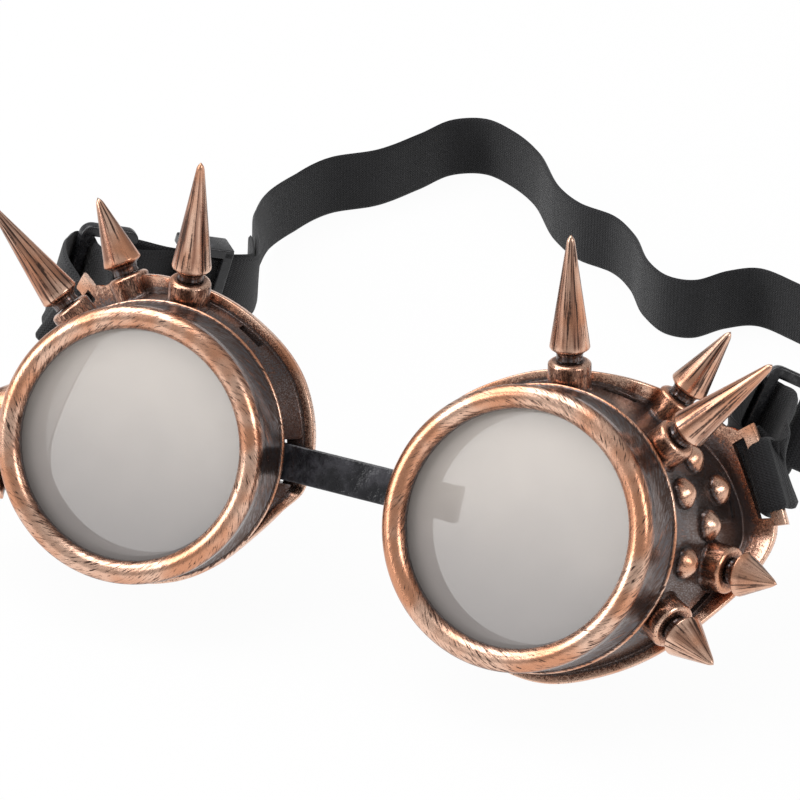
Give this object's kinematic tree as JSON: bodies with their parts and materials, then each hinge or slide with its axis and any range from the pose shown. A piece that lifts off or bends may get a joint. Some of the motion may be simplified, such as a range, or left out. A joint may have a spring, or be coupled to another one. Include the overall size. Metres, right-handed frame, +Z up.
{
  "type": "spiked steampunk goggles",
  "caption": "Pair of round screw-bezel goggles in antique copper plastic with cone spikes and studs, joined by a rubber bridge strip and an elastic head strap.",
  "frame": {"origin": "middle of the bounding box, on the table the goggles lie on", "axes": "+X to the viewer's right across the two lenses, +Y away from the viewer along the strap loop, +Z up from the table"},
  "size_m": [0.18, 0.2218, 0.087],
  "materials": {
    "antique_copper": "moulded plastic plated antique copper, rubbed dark in the hollows",
    "lens_glass": "smooth, light warm grey half mirror",
    "black_rubber": "satin black",
    "black_elastic": "woven matt black elastic",
    "black_plastic": "moulded black plastic"
  },
  "bodies": {
    "bridge": {"bridge_strip": "black_rubber", "head_strap": "black_elastic"},
    "cup_left": {"eyecup_left": "antique_copper", "spike_top_left": "antique_copper", "spike_crown_left": "antique_copper", "spike_brow_left": "antique_copper", "spike_temple_left": "antique_copper", "spike_cheek_left": "antique_copper", "strap_loop_left": "black_elastic", "strap_ring_left": "black_plastic"},
    "lens_carrier_left": {"lens_left": "lens_glass", "lens_gasket_left": "black_rubber"},
    "bezel_left": {"bezel_left": "antique_copper"},
    "cup_right": {"eyecup_right": "antique_copper", "spike_top_right": "antique_copper", "spike_crown_right": "antique_copper", "spike_brow_right": "antique_copper", "spike_temple_right": "antique_copper", "spike_cheek_right": "antique_copper", "strap_loop_right": "black_elastic", "strap_ring_right": "black_plastic"},
    "lens_carrier_right": {"lens_right": "lens_glass", "lens_gasket_right": "black_rubber"},
    "bezel_right": {"bezel_right": "antique_copper"},
    "strap_slider": {"strap_slider": "black_plastic"}
  },
  "joints": [
    {"name": "bridge_flex_left", "type": "hinge", "parent": "bridge", "child": "cup_left", "pos_m": [-0.01344, -0.07954, 0.03065], "axis": [0, -0.4195, -0.9078], "range_deg": [-8, 10], "stiffness_Nm_per_rad": 0.15, "deforming": ["head_strap"]},
    {"name": "bezel_travel_left", "type": "slide", "parent": "cup_left", "child": "lens_carrier_left", "axis": [0.0628, -0.906, 0.4186], "range_m": [0, 0.0045]},
    {"name": "bezel_turn_left", "type": "hinge", "parent": "lens_carrier_left", "child": "bezel_left", "pos_m": [-0.04071, -0.09707, 0.03765], "axis": [0.0628, -0.906, 0.4186], "range_deg": [0, 271]},
    {"name": "bridge_flex_right", "type": "hinge", "parent": "bridge", "child": "cup_right", "pos_m": [0.01522, -0.08007, 0.02992], "axis": [0, 0.4818, 0.8763], "range_deg": [-8, 10], "stiffness_Nm_per_rad": 0.15, "deforming": ["head_strap"]},
    {"name": "bezel_travel_right", "type": "slide", "parent": "cup_right", "child": "lens_carrier_right", "axis": [-0.0628, -0.8746, 0.4808], "range_m": [0, 0.0045]},
    {"name": "bezel_turn_right", "type": "hinge", "parent": "lens_carrier_right", "child": "bezel_right", "pos_m": [0.04249, -0.09707, 0.03813], "axis": [-0.0628, -0.8746, 0.4808], "range_deg": [0, 271]},
    {"name": "slider_travel", "type": "slide", "parent": "cup_left", "child": "strap_slider", "axis": [0.717, 0.631, -0.296], "range_m": [-0.005, 0.003], "deforming": ["head_strap"]}
  ],
  "couplings": [
    {"joint": "bezel_turn_left", "follows": "bezel_travel_left", "rad_per_m": 1047.2},
    {"joint": "bezel_turn_right", "follows": "bezel_travel_right", "rad_per_m": 1047.2}
  ]
}
